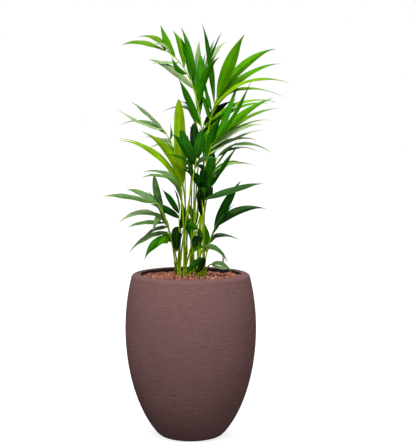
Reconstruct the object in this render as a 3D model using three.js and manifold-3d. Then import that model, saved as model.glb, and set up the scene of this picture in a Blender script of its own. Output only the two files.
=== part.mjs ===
// A kentia palm in its egg-shaped planter, in millimetres: +Z is up, -Y is the front, and the
// origin is the middle of the planter's flat underside.
import * as THREE from "three";
import { mergeVertices } from "three/addons/utils/BufferGeometryUtils.js";
import Module from "manifold-3d";

const wasm = await Module();
wasm.setup();
const { Manifold } = wasm;

// Planter
const POT_HEIGHT = 574;
const POT_GIRTH_RADIUS = 230;
const POT_GIRTH_HEIGHT = 379;
const POT_CURVE = 430; // half height of the ellipse that the wall follows
const POT_FOOT_RADIUS = 94;
const POT_FOOT_ROUND = 32;
const POT_LIP = 16; // rounding of the outer edge of the lip
const POT_LIP_INNER = 3;
const POT_MOUTH_RADIUS = 176;
const POT_WALL = 24;
const POT_FLOOR = 22;
const POT_SIDES = 40;
const WALL_STEPS = 8;
const INSIDE_STEPS = 5;

// Granules
const BED_LEVEL = 558; // height of the granules at the wall
const BED_CROWN = 13; // how much higher they stand in the middle
const SOCKET_DEPTH = 16; // how deep the stems and the gauge stand in them
const HEAPS = 30; // low heaps that they lie in
const HEAP_REACH = 156; // how far the outermost one is from the middle
const HEAP_RADIUS = 18;
const HEAP_RISE = 4;
const GOLDEN_ANGLE = 2.4; // radians

// Water gauge
const GAUGE_PLACE = [115, 106];
const GAUGE_BLOCK_RADIUS = 15;
const GAUGE_BLOCK_HEIGHT = 19;
const GAUGE_COLLAR_RADIUS = 8.5;
const GAUGE_COLLAR_HEIGHT = 5;
const TUBE_RADIUS = 4.8;
const TUBE_WALL = 0.8;
const TUBE_HEIGHT = 58;
const FLOAT_RADIUS = 3.4;

// Palm
const GAP = 0.3; // between pieces that meet
const STALK_FOOT = 3.3; // radius of a stalk where it leaves its stem
const STALK_MIDDLE = 2.6; // where its leaflets begin
const STALK_END = 1.7; // at its tip
const STALK_STEPS = 7;
const STALK_SIDES = 5;
const STEM_SIDES = 8;
const LEAF_THICKNESS = 2.6;
const LEAF_SLENDERNESS = 95; // length over thickness of the longest leaflets
const LEAF_CLEARANCE = 0.8; // kept to the leaflets and stalks of other fronds
const LEAF_STATIONS = [0, 0.25, 0.52, 0.78];
const LEAF_SPREAD = [0.14, 0.92, 1, 0.46]; // width at those stations, over the greatest width
const SWINGS = [0, 0.16, -0.16, 0.32, -0.32, 0.48, -0.48, 0.7, -0.7];
const FULL_WIDTH = 27; // of a leaflet seen flat
const FULL_SHARE = 0.2; // and its most, over the leaflet's length
const TURN_JITTER = 10; // degrees

// Stems: foot (x, y) and top (x, y, height above the granules).
const STEMS = [
  { foot: [-48, 10], top: [-52, 8, 48] },
  { foot: [-41, -16], top: [-39, -16, 66] },
  { foot: [-22, 24], top: [-18, 28, 80] },
  { foot: [-19, -34], top: [-20, -36, 40] },
  { foot: [1, -10], top: [0, -10, 96] },
  { foot: [8, 38], top: [6, 42, 90] },
  { foot: [27, 12], top: [28, 14, 108] },
  { foot: [31, -32], top: [32, -34, 48] },
  { foot: [45, -2], top: [48, -2, 30] },
  { foot: [12, 76], top: [10, 82, 44] },
];

// Fronds, from the bottom up on each stem. knee is where the stalk bends and tip where it ends, both with
// the height above the granules; bare is the share of the stalk without leaflets. fan has one entry
// for each leaflet, from the lowest to the two at the tip: the heading of the leaflet's tip seen
// from the front in degrees from upright, its reach that way, its greatest width as seen, and how
// far it bows up before it hangs. depth is how far leaflets go back and forth by turns, and push how
// far all of them lean back (or forward, below 0), both over the reach. A fifth value is a leaflet's
// own lean back instead.
const FRONDS = [
  {
    name: "left_low", stem: 0, knee: [-64, -84, 185], tip: [-111, -104, 268], bare: 0.5,
    depth: 0.5, push: 0,
    fan: [[-42, 91, 15, 4], [-34, 124, 15, 1.1], [-15, 125, 30, -0.3, 0.9], [-67, 120, 17, 0.4],
      [-81, 186, 15, 0.2]],
  },
  {
    name: "left_lowest", stem: 0, knee: [-64, -24, 151], tip: [-91, -48, 212], bare: 0.42,
    depth: 0.5, push: 0,
    fan: [[-102, 50, 39, 4, -0.9], [-129, 114, 30, 0.5, -0.5], [-117, 156, 14, 0.5],
      [-122, 121, 13, 0.6], [-95, 132, 16, 0.3], [-140, 60, 24, 1.4, -0.9], [-93, 155, 13, 0.8]],
  },
  {
    name: "young_left", stem: 1, knee: [-34, -8, 188], tip: [-29, -40, 322], bare: 0.88,
    depth: 0.2, push: 0, kind: "young",
    fan: [[-47, 290, 17, 3.1], [-50, 291, 15, 1.9], [-35, 236, 29, 3.6], [-2, 306, 49, 0]],
  },
  {
    name: "left_core", stem: 1, knee: [-38, -50, 147], tip: [-39, -70, 231], bare: 0.6,
    depth: 0.5, push: 0,
    fan: [[-172, 64, 43, 1.3, -0.3], [7, 92, 22, -0.9, 0.4], [151, 81, 24, 1.1, 0.5],
      [-65, 111, 25, 0.2], [-34, 103, 19, 0.3], [-12, 88, 9, 4]],
  },
  {
    name: "centre_near", stem: 1, knee: [-17, -60, 220], tip: [22, -104, 422], bare: 0.84,
    depth: 0.5, push: 0,
    fan: [[-39, 46, 12, 4, -0.4], [-59, 122, 10, 4], [65, 89, 16, 4, -0.5], [-36, 135, 32, 0.6, 0.1],
      [-25, 124, 37, -0.3, 0.9], [10, 99, 35, -0.1, 0.9], [-5, 122, 41, -0.3, 0.8]],
  },
  {
    name: "left_back", stem: 2, knee: [-9, 80, 394], tip: [-98, 120, 517], bare: 0.62,
    depth: 0.5, push: 0.15,
    fan: [[-31, 95, 12, 1.7], [-59, 141, 14, 4], [-85, 95, 14, 3], [-61, 46, 9, 1.2], [2, 61, 9, -1],
      [-80, 186, 9, 0.7], [-65, 181, 8, -0.2], [-50, 164, 12, 0.2]],
  },
  {
    name: "far_left", stem: 2, knee: [-17, 120, 357], tip: [-29, 210, 444], bare: 0.62,
    depth: 0.5, push: 0.8,
    fan: [[-85, 16, 17, 0.5], [156, 15, 17, 0.5], [-13, 116, 19, 0.5], [7, 62, 19, 0.5],
      [-8, 133, 19, 0.5], [-4, 95, 17, 0.5]],
  },
  {
    name: "centre_up", stem: 2, knee: [-4, 22, 326], tip: [13, 50, 448], bare: 0.7,
    depth: 0.5, push: 0.4,
    fan: [[-6, 137, 19, 0.5], [19, 92, 19, 0.5], [-10, 85, 19, 0.5], [7, 84, 19, 0.5]],
  },
  {
    name: "mid_left", stem: 3, knee: [-20, -60, 193], tip: [-32, -76, 317], bare: 0.8,
    depth: 0.5, push: -0.15,
    fan: [[-29, 106, 10, 3.6], [-60, 151, 9, 3.4], [-74, 144, 9, 1.3], [-67, 148, 15, 2.4]],
  },
  {
    name: "near_centre", stem: 3, knee: [-3, -70, 108], tip: [28, -110, 183], bare: 0.85,
    depth: 0.5, push: 0,
    fan: [[-171, 49, 24, -1.5, -0.4], [169, 50, 19, 0.8, -0.3], [154, 39, 14, 0, -0.6],
      [-64, 46, 26, 0, -0.8]],
  },
  {
    name: "right_fan", stem: 4, knee: [28, -20, 311], tip: [74, -60, 474], bare: 0.78,
    depth: 0.5, push: -0.1,
    fan: [[18, 175, 31, 2.2], [66, 191, 14, 2], [10, 110, 33, 4, 0.9], [22, 291, 19, -0.1],
      [65, 203, 12, 0.3], [32, 143, 26, 0, 0.3], [63, 195, 12, 0.5], [65, 230, 13, 0.5],
      [31, 259, 17, -0.2], [62, 258, 17, 0.4], [53, 255, 22, 0.3]],
  },
  {
    name: "right_low_b", stem: 4, knee: [35, -40, 226], tip: [69, -60, 347], bare: 0.74,
    depth: 0.5, push: -0.2,
    fan: [[-37, 128, 31, 4, -0.3], [8, 147, 41, -0.3, 0.5], [33, 182, 16, 0], [-16, 72, 33, -0.7, 0.5],
      [62, 130, 10, 3], [75, 174, 8, 1.6]],
  },
  {
    name: "back_top", stem: 5, knee: [-6, 136, 589], tip: [59, 150, 724], bare: 0.66,
    depth: 0.5, push: 0.3,
    fan: [[8, 200, 26, 0.5], [14, 221, 14, 0.5], [-6, 148, 26, -0.7], [32, 135, 19, 3],
      [20, 152, 10, 0.4]],
  },
  {
    name: "up_back", stem: 5, knee: [12, 92, 429], tip: [21, 100, 553], bare: 0.9,
    depth: 0.5, push: 0.2,
    fan: [[-30, 98, 8, 2.1], [-27, 89, 8, 0.6], [-41, 88, 12, 4], [-77, 132, 13, 4]],
  },
  {
    name: "right_dark", stem: 5, knee: [17, 44, 378], tip: [45, 40, 532], bare: 0.86,
    depth: 0.4, push: 0,
    fan: [[61, 263, 10, 0.9], [56, 156, 19, 0.9], [69, 278, 10, 1.1], [48, 132, 26, 0.4],
      [50, 152, 10, -0.1]],
  },
  {
    name: "top_left", stem: 6, knee: [90, 10, 697], tip: [-85, -20, 788], bare: 0.44,
    depth: 0.6, push: 0,
    fan: [[-25, 181, 26, 0], [1, 217, 30, 1.4, 0.9], [24, 182, 27, 4], [-12, 259, 24, 1.3, 0.35],
      [-57, 183, 24, 0.4], [-13, 155, 19, 4, -0.2], [-41, 80, 16, -0.6], [-16, 138, 21, 4, 0.3],
      [-94, 94, 9, 0.1], [-24, 125, 23, -0.2, -0.1], [-64, 71, 12, 3.6], [-62, 109, 17, 3.8],
      [-83, 151, 15, 0.5]],
  },
  {
    name: "top_right", stem: 6, knee: [38, 30, 500], tip: [92, 10, 628], bare: 0.76,
    depth: 0.55, push: 0,
    fan: [[-19, 102, 16, 0.6], [75, 272, 15, 3.5], [-14, 115, 17, -0.2], [72, 287, 15, 1.3],
      [-9, 279, 18, 4], [59, 273, 17, 0.4], [23, 236, 43, 0.3], [49, 281, 31, 0.5]],
  },
  {
    name: "far_right", stem: 6, knee: [51, 120, 393], tip: [62, 230, 444], bare: 0.62,
    depth: 0.5, push: 0.8,
    fan: [[-59, 38, 17, 0.5], [127, 28, 17, 0.5], [-15, 112, 19, 0.5], [26, 127, 19, 0.5],
      [-15, 87, 19, 0.5], [10, 127, 19, 0.5]],
  },
  {
    name: "far_low", stem: 9, knee: [8, 130, 151], tip: [4, 190, 182], bare: 0.6,
    depth: 0.5, push: 0.8,
    fan: [[-26, 82, 17, 0.5], [17, 66, 17, 0.5], [-135, 59, 17, 0.5], [-15, 63, 17, 0.5],
      [-174, 86, 17, 0.5]],
  },
  {
    name: "right_low_a", stem: 7, knee: [45, -14, 293], tip: [93, -50, 426], bare: 0.85,
    depth: 0.5, push: -0.2,
    fan: [[42, 131, 9, 0.5], [83, 145, 10, 0.8], [84, 181, 10, 1.1]],
  },
  {
    name: "right_bottom", stem: 7, knee: [31, -60, 75], tip: [43, -84, 114], bare: 0.6,
    depth: 0.5, push: 0,
    fan: [[-121, 47, 24, 1.6, -0.5], [124, 107, 17, 0.9]],
  },
  {
    name: "bottom_centre", stem: 7, knee: [55, -52, 67], tip: [50, -80, 79], bare: 0.6,
    depth: 0.5, push: 0,
    fan: [[-130, 87, 23, 0.3, -0.1], [-148, 70, 19, -0.7, 0.1]],
  },
  {
    name: "right_long", stem: 8, knee: [45, -66, 193], tip: [40, -80, 280], bare: 0.7,
    depth: 0.5, push: 0,
    fan: [[-6, 126, 15, -0.4], [38, 60, 24, -0.5], [73, 217, 22, 0.1]],
  },
  {
    name: "right_lower", stem: 8, knee: [55, 14, 109], tip: [83, -10, 175], bare: 0.36,
    depth: 0.5, push: 0,
    fan: [[-4, 113, 29, 1.2, -0.4], [82, 111, 14, 4], [34, 146, 10, 0.5], [29, 192, 31, 0.2],
      [67, 192, 29, 0.7]],
  },
  {
    name: "right_bottom_b", stem: 8, knee: [66, -20, 51], tip: [71, -50, 53], bare: 0.5,
    depth: 0.5, push: 0,
    fan: [[100, 61, 9, -0.2, -0.2], [115, 84, 13, 0.9]],
  },
  {
    name: "near_right", stem: 8, knee: [45, -124, 266], tip: [52, -180, 333], bare: 0.62,
    depth: 0.5, push: -0.8,
    fan: [[2, 145, 17, 0.5], [15, 102, 17, 0.5], [-21, 49, 16, 0.5], [56, 26, 16, 0.5],
      [-167, 29, 16, 0.5], [-150, 52, 16, 0.5]],
  },
];

const radians = THREE.MathUtils.degToRad;
const vec = (x, y, z) => new THREE.Vector3(x, y, z);
const above = ([x, y, z]) => vec(x, y, BED_LEVEL + z);

// A repeatable number between -1 and 1.
function jitter(a, b) {
  const v = Math.sin(a * 12.9898 + b * 78.233) * 43758.5453;
  return 2 * (v - Math.floor(v)) - 1;
}

function curvePoint([a, b, c], t) {
  return a
    .clone()
    .multiplyScalar((1 - t) ** 2)
    .addScaledVector(b, 2 * t * (1 - t))
    .addScaledVector(c, t * t);
}

function solidOf(geometry) {
  const bare = geometry.clone();
  bare.deleteAttribute("normal");
  bare.deleteAttribute("uv");
  const merged = mergeVertices(bare, 1e-4);
  const made = new wasm.Mesh({
    numProp: 3,
    vertProperties: merged.attributes.position.array,
    triVerts: new Uint32Array(merged.index.array),
  });
  return new Manifold(made);
}

function geometryOf(solid) {
  const made = solid.getMesh();
  const geometry = new THREE.BufferGeometry();
  geometry.setAttribute("position", new THREE.BufferAttribute(made.vertProperties, 3));
  geometry.setIndex(new THREE.BufferAttribute(made.triVerts, 1));
  geometry.computeVertexNormals();
  return geometry;
}

const finish = (color, roughness, metalness = 0) => ({ color, roughness, metalness });
const CLAY = finish(0x79595a, 0.85);
const GRANULE = finish(0x9a6950, 0.95);
const BLACK_PLASTIC = finish(0x1c1c20, 0.5);
const CLEAR = finish(0xdfe6ea, 0.08);
const MARK = finish(0xe0b020, 0.5);
const STALK = finish(0x7d9a1e, 0.6);
const LEAF = { mature: finish(0x2a7a0c, 0.45), young: finish(0x8fb414, 0.45) };

const palm = new THREE.Group();
palm.name = "kentia_palm_in_planter";

function addPiece(name, geometry, look) {
  const mesh = new THREE.Mesh(geometry, new THREE.MeshStandardMaterial(look));
  mesh.name = name;
  palm.add(mesh);
}

// A solid of revolution about the Z axis, from a profile of [radius, height] that goes
// counter-clockwise from the axis back to the axis.
function turned(profile, sides) {
  const points = profile.map(([r, z]) => new THREE.Vector2(r, z));
  return new THREE.LatheGeometry(points, sides).rotateX(Math.PI / 2);
}

function wallRadius(z) {
  const k = (z - POT_GIRTH_HEIGHT) / POT_CURVE;
  return POT_GIRTH_RADIUS * Math.sqrt(1 - k * k);
}

// Points of a quarter circle about (r, z) from one angle to another, in degrees.
function rounded(r, z, radius, from, to, steps) {
  return Array.from({ length: steps + 1 }, (_, i) => {
    const a = radians(from + ((to - from) * i) / steps);
    return [r + radius * Math.cos(a), z + radius * Math.sin(a)];
  });
}

function potOuter() {
  const low = 0.5 * POT_FOOT_ROUND;
  const high = POT_HEIGHT - POT_LIP - 2;
  const wall = Array.from({ length: WALL_STEPS + 1 }, (_, i) => {
    const z = low + ((high - low) * i) / WALL_STEPS;
    return [wallRadius(z), z];
  });
  const corner = rounded(POT_FOOT_RADIUS, POT_FOOT_ROUND, POT_FOOT_ROUND, -90, -40, 2);
  return [[0, 0], ...corner, ...wall];
}

// The inside of the wall, from the mouth down to the floor.
function potInside() {
  const high = POT_HEIGHT - 2 * POT_LIP_INNER;
  return Array.from({ length: INSIDE_STEPS + 1 }, (_, i) => {
    const z = high + ((POT_FLOOR - high) * i) / INSIDE_STEPS;
    return [Math.min(POT_MOUTH_RADIUS, wallRadius(z) - POT_WALL), z];
  });
}

function pot() {
  const lipOuter = wallRadius(POT_HEIGHT - POT_LIP) - POT_LIP;
  const lip = rounded(lipOuter, POT_HEIGHT - POT_LIP, POT_LIP, 0, 90, 2);
  const inside = POT_MOUTH_RADIUS + POT_LIP_INNER;
  const mouth = rounded(inside, POT_HEIGHT - POT_LIP_INNER, POT_LIP_INNER, 90, 180, 2);
  return turned([...potOuter(), ...lip, ...mouth, ...potInside(), [0, POT_FLOOR]], POT_SIDES);
}

function granules() {
  const wall = potInside().reverse().slice(0, -1);
  const side = [...wall, [POT_MOUTH_RADIUS, BED_LEVEL]].map(([r, z]) => [r - GAP, z]);
  side[0][1] += GAP;
  const middle = [0, BED_LEVEL + BED_CROWN];
  const flat = solidOf(turned([[0, POT_FLOOR + GAP], ...side, middle], POT_SIDES));
  const bed = Manifold.union([flat, ...heaps()]);
  const stems = STEMS.map(({ foot }, k) => socket(foot, stemRadius(k) + 1.5 + GAP, STEM_SIDES));
  const gauge = socket(GAUGE_PLACE, GAUGE_BLOCK_RADIUS + GAP, 24);
  return geometryOf(bed.subtract(Manifold.union([...stems, gauge])));
}

// Low heaps of granules, spread over the bed by the golden angle.
function heaps() {
  return Array.from({ length: HEAPS }, (_, k) => {
    const out = HEAP_REACH * Math.sqrt((k + 0.5) / HEAPS);
    const a = k * GOLDEN_ANGLE;
    const z = BED_LEVEL + BED_CROWN * (1 - out / POT_MOUTH_RADIUS);
    const heap = Manifold.sphere(1, 4).scale([HEAP_RADIUS, HEAP_RADIUS, HEAP_RISE]);
    return heap.translate([out * Math.cos(a), out * Math.sin(a), z]);
  });
}

function socket([x, y], radius, sides) {
  const height = SOCKET_DEPTH + GAP + BED_CROWN + HEAP_RISE + 1;
  const z = BED_LEVEL - SOCKET_DEPTH - GAP;
  return Manifold.cylinder(height, radius, radius, sides).translate([x, y, z]);
}

const [GX, GY] = GAUGE_PLACE;
const GZ = BED_LEVEL - SOCKET_DEPTH;
const BLOCK_TOP = SOCKET_DEPTH + GAUGE_BLOCK_HEIGHT;

function gaugeBlock() {
  const r = GAUGE_BLOCK_RADIUS;
  const profile = [
    [0, 0], [r, 0], [r, BLOCK_TOP - 2], [r - 2, BLOCK_TOP], [GAUGE_COLLAR_RADIUS, BLOCK_TOP],
    [GAUGE_COLLAR_RADIUS, BLOCK_TOP + GAUGE_COLLAR_HEIGHT],
    [TUBE_RADIUS + GAP, BLOCK_TOP + GAUGE_COLLAR_HEIGHT], [TUBE_RADIUS + GAP, BLOCK_TOP - 4],
    [0, BLOCK_TOP - 4],
  ];
  return turned(profile, 24).translate(GX, GY, GZ);
}

function gaugeTube() {
  const low = BLOCK_TOP - 4 + GAP;
  const high = BLOCK_TOP + TUBE_HEIGHT;
  const r = TUBE_RADIUS;
  const profile = [
    [r - TUBE_WALL, low], [r, low], [r, high - 3], [r - 2.4, high], [0, high],
    [0, high - 1.5], [r - TUBE_WALL - 1, high - 1.5], [r - TUBE_WALL, high - 4],
    [r - TUBE_WALL, low],
  ];
  return turned(profile, 16).translate(GX, GY, GZ);
}

// The red foot, thin rod and yellow float that stand inside the tube.
function gaugeFloat() {
  const low = BLOCK_TOP - 4 + GAP;
  const r = FLOAT_RADIUS;
  const profile = [
    [0, low], [r, low], [r, low + 14], [1, low + 16], [1, low + 29], [r, low + 31],
    [r, low + 37], [1, low + 39], [1, low + 52], [0, low + 52],
  ];
  return turned(profile, 10).translate(GX, GY, GZ);
}

// A closed tube along points, with one radius at each. Its first ends lie level, as many as
// levels says.
function tube(points, radii, sides, levels) {
  const rings = [];
  let side = vec(1, 0, 0);
  points.forEach((p, i) => {
    const ahead = points[Math.min(i + 1, points.length - 1)];
    const behind = points[Math.max(i - 1, 0)];
    const level = (i === 0 && levels > 0) || (i === points.length - 1 && levels > 1);
    const along = level ? vec(0, 0, 1) : ahead.clone().sub(behind).normalize();
    side = side.clone().addScaledVector(along, -side.dot(along)).normalize();
    const up = along.clone().cross(side);
    const ring = Array.from({ length: sides }, (_, k) => {
      const a = (2 * Math.PI * k) / sides;
      const out = side.clone().multiplyScalar(Math.cos(a)).addScaledVector(up, Math.sin(a));
      return p.clone().addScaledVector(out, radii[i]);
    });
    rings.push(ring);
  });
  return loft(rings, points[0], points.at(-1));
}

// A closed skin over rings of equal length, with a fan to a point at each end.
function loft(rings, first, last) {
  const n = rings[0].length;
  const vertices = [first, ...rings.flat(), last].flatMap((p) => p.toArray());
  const end = 1 + rings.length * n;
  const faces = [];
  for (let k = 0; k < n; k++) {
    const next = (k + 1) % n;
    faces.push(0, 1 + next, 1 + k);
    for (let i = 0; i + 1 < rings.length; i++) {
      const a = 1 + i * n + k;
      const b = 1 + i * n + next;
      faces.push(a, b, b + n, a, b + n, a + n);
    }
    faces.push(end, end - n + k, end - n + next);
  }
  const geometry = new THREE.BufferGeometry();
  geometry.setAttribute("position", new THREE.Float32BufferAttribute(vertices, 3));
  geometry.setIndex(faces);
  return geometry;
}

// The way a frond leans from its stem: its heading seen from above.
function lean({ stem, knee }) {
  const { top } = STEMS[stem];
  return Math.atan2(knee[1] - top[1], knee[0] - top[0]);
}

// The fronds of a stem stand in a ring on its top, in the order of the ways they lean.
const ringOf = (k) => FRONDS.filter(({ stem }) => stem === k).sort((a, b) => lean(a) - lean(b));

function ringRadius(k) {
  const count = ringOf(k).length;
  return count < 2 ? 0 : (STALK_FOOT + 0.6) / Math.sin(Math.PI / count);
}

const stemRadius = (k) => ringRadius(k) + STALK_FOOT + 0.5;

function stem({ foot, top }, k) {
  const low = above([...foot, -SOCKET_DEPTH]);
  const high = above(top);
  const points = [low, above([...foot, 8]), low.clone().lerp(high, 0.75), high];
  const radius = stemRadius(k);
  return tube(points, [radius + 1.5, radius + 1.2, radius, radius - 0.4], STEM_SIDES, 2);
}

function stalkCurve(frond) {
  const ring = ringOf(frond.stem);
  const step = (2 * Math.PI) / ring.length;
  const first = ring.reduce((sum, one, k) => sum + lean(one) - k * step, 0) / ring.length;
  const a = first + step * ring.indexOf(frond);
  const out = ringRadius(frond.stem);
  const seat = above(STEMS[frond.stem].top);
  const foot = seat.add(vec(out * Math.cos(a), out * Math.sin(a), GAP));
  return [foot, above(frond.knee), above(frond.tip)];
}

function stalk(frond) {
  const curve = stalkCurve(frond);
  const radii = [];
  const points = Array.from({ length: STALK_STEPS + 1 }, (_, i) => {
    const t = i / STALK_STEPS;
    const bare = Math.min(1, t / frond.bare);
    const leafy = Math.max(0, (t - frond.bare) / (1 - frond.bare));
    const lower = THREE.MathUtils.lerp(STALK_FOOT, STALK_MIDDLE, bare ** 0.6);
    radii.push(lower + (STALK_END - STALK_MIDDLE) * leafy);
    return curvePoint(curve, t);
  });
  return solidOf(tube(points, radii, STALK_SIDES, 1));
}

// One leaflet of a frond: its spine, its face and its width. One that looks narrow from the front is
// a wide one that is turned: to face up where it leans, and left or right by turns where it stands.
function leaflet(frond, index, i, swing) {
  const { fan, bare, depth, push } = frond;
  const u = Math.min(1, i / (fan.length - 2 || 1));
  const j = index * 20 + i;
  const byTurns = depth * (i % 2 ? 1 : -1) * (0.65 + 0.35 * jitter(j, 1)) + push;
  const [heading, reach, width, bow, back = byTurns] = fan[i];
  const foot = curvePoint(stalkCurve(frond), fan.length < 3 ? 1 : bare + (1 - bare) * u);
  const a = radians(heading);
  const chord = vec(Math.sin(a), back + swing, Math.cos(a)).multiplyScalar(reach);
  const long = chord.length();
  const start = chord.clone().normalize().add(vec(0, 0, bow)).normalize();
  const knee = foot.clone().addScaledVector(start, 0.55 * long);
  const full = Math.max(width, Math.min(FULL_WIDTH, FULL_SHARE * long));
  const along = chord.clone().normalize();
  const front = vec(0, -1, 0).addScaledVector(along, along.y).normalize();
  const side = front.clone().cross(along);
  const way = Math.abs(side.z) > 0.4 ? Math.sign(side.z) : i % 2 ? 1 : -1;
  const turn = way * Math.acos(width / full) + radians(TURN_JITTER * jitter(j, 3));
  return {
    spine: [foot, knee, foot.clone().add(chord)],
    face: front.multiplyScalar(Math.cos(turn)).addScaledVector(side, Math.sin(turn)),
    width: full,
    long,
  };
}

function blade({ spine, face, width, long }, extra) {
  const thick = Math.max(LEAF_THICKNESS, long / LEAF_SLENDERNESS);
  const rings = LEAF_STATIONS.map((t, k) => {
    const p = curvePoint(spine, t);
    const along = curvePoint(spine, t + 0.02).sub(curvePoint(spine, t - 0.02)).normalize();
    const across = face.clone().cross(along).normalize();
    const out = along.clone().cross(across);
    const half = (width * LEAF_SPREAD[k]) / 2 + extra;
    const deep = (thick * Math.sqrt(LEAF_SPREAD[k])) / 2 + extra;
    return [[across, half], [out, deep], [across, -half], [out, -deep]].map(([way, much]) =>
      p.clone().addScaledVector(way, much),
    );
  });
  return solidOf(loft(rings, spine[0], spine[2]));
}

const touches = (a, b) => {
  const p = a.boundingBox();
  const q = b.boundingBox();
  const apart = [0, 1, 2].some((k) => p.min[k] > q.max[k] || q.min[k] > p.max[k]);
  return !apart && !a.intersect(b).isEmpty();
};

// Leaflets are placed one frond at a time. One that would touch another frond is swung back or
// forward until it is clear, and left out if it never is.
function leaves(frond, index, stalks, placed) {
  const others = [...stalks.filter((_, k) => k !== index), ...placed];
  return frond.fan.flatMap((_, i) => {
    for (const swing of SWINGS) {
      const made = leaflet(frond, index, i, swing);
      const roomy = blade(made, LEAF_CLEARANCE);
      if (!others.some((other) => touches(roomy, other))) return [blade(made, 0)];
    }
    return [];
  });
}

// Leaflets that meet can close off a pocket between them, and only the outer skin is kept.
const filled = (solid) => Manifold.union(solid.decompose().filter((one) => one.volume() > 0));

addPiece("pot", pot(), CLAY);
addPiece("granules", granules(), GRANULE);
addPiece("gauge_block", gaugeBlock(), BLACK_PLASTIC);
addPiece("gauge_tube", gaugeTube(), CLEAR);
addPiece("gauge_float", gaugeFloat(), MARK);
STEMS.forEach((one, k) => addPiece("stem_" + (k + 1), stem(one, k), STALK));

const stalks = FRONDS.map(stalk);
const placed = [...STEMS.map((one, k) => solidOf(stem(one, k))), solidOf(gaugeTube())];
FRONDS.forEach((frond, index) => {
  const own = leaves(frond, index, stalks, placed);
  placed.push(...own);
  const whole = filled(Manifold.union([stalks[index], ...own]));
  addPiece("frond_" + frond.name, geometryOf(whole), LEAF[frond.kind ?? "mature"]);
});

export default palm;
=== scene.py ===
import math

import bmesh
import bpy
import numpy as np
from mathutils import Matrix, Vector, noise


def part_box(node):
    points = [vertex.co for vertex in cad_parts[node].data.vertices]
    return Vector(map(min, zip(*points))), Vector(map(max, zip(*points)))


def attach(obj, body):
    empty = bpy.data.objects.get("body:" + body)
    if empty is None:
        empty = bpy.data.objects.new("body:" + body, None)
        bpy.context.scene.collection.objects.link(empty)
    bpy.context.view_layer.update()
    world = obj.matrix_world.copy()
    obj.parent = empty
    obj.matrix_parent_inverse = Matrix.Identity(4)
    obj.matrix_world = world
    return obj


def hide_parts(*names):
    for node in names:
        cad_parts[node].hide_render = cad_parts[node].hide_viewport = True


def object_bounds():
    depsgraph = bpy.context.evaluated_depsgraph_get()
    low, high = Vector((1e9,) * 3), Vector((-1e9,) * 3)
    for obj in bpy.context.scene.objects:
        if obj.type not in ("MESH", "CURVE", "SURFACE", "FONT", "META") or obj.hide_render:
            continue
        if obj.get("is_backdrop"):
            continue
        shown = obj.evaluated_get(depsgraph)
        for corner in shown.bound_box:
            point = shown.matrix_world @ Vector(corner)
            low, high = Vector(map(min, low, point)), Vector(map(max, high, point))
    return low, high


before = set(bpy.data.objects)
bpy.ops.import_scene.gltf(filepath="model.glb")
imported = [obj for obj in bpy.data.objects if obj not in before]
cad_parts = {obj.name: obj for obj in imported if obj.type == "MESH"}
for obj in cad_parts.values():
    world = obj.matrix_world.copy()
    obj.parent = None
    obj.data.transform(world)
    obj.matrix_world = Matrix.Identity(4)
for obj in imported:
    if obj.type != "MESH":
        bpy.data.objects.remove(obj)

CAD_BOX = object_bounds()
MM = 0.001
rng = np.random.default_rng(20)


def node_box(node):
    """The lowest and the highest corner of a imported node, in millimetres."""
    return [[round(v / MM, 2) for v in corner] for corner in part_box(node)]


# ---- camera and picture

PICTURE_TALL = 442  # pixels, the longer side
CAMERA_PLACE = (60.4, -4000, 1086.4)
CAMERA_PITCH = math.radians(4.7)  # downwards
FOCAL_PIXELS = 1149
SENSOR = 36


def make_camera():
    data = bpy.data.cameras.new("camera")
    data.sensor_width = SENSOR
    data.lens = FOCAL_PIXELS / PICTURE_TALL * SENSOR
    camera = bpy.data.objects.new("camera", data)
    camera.location = Vector(CAMERA_PLACE) * MM
    camera.rotation_euler = (math.pi / 2 - CAMERA_PITCH, 0, 0)
    bpy.context.scene.collection.objects.link(camera)
    bpy.context.scene.camera = camera
    bpy.context.scene.view_settings.view_transform = "Standard"


# ---- planter and bed

POT_HEIGHT = node_box("pot")[1][2]
POT_GIRTH_RADIUS = 230
POT_GIRTH_HEIGHT = 379
POT_CURVE = 430  # half height of the ellipse that the wall follows
POT_FOOT_RADIUS = 94
POT_FOOT_ROUND = 32
POT_LIP = 16
POT_LIP_INNER = 3
POT_MOUTH_RADIUS = 176
POT_WALL = 24
POT_FLOOR = 22
BED_LEVEL = 558  # at the wall
BED_CROWN = 13  # how much higher the middle is
SOCKET_DEPTH = 16
HEAPS = 30
HEAP_REACH = 156
HEAP_RADIUS = 18
HEAP_RISE = 4
GOLDEN_ANGLE = 2.4

GAUGE_LOW, GAUGE_HIGH = node_box("gauge_block")
GAUGE_PLACE = ((GAUGE_LOW[0] + GAUGE_HIGH[0]) / 2, (GAUGE_LOW[1] + GAUGE_HIGH[1]) / 2)
GAUGE_BLOCK_RADIUS = (GAUGE_HIGH[0] - GAUGE_LOW[0]) / 2
GAUGE_FOOT = GAUGE_LOW[2]
GAUGE_COLLAR_RADIUS = 8.5
GAUGE_COLLAR_HEIGHT = 5
BLOCK_TOP = GAUGE_HIGH[2] - GAUGE_COLLAR_HEIGHT
TUBE_RADIUS = 4.8
TUBE_WALL = 0.8
TUBE_HEIGHT = 58
FLOAT_RADIUS = 3.4

# ---- palm

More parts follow.
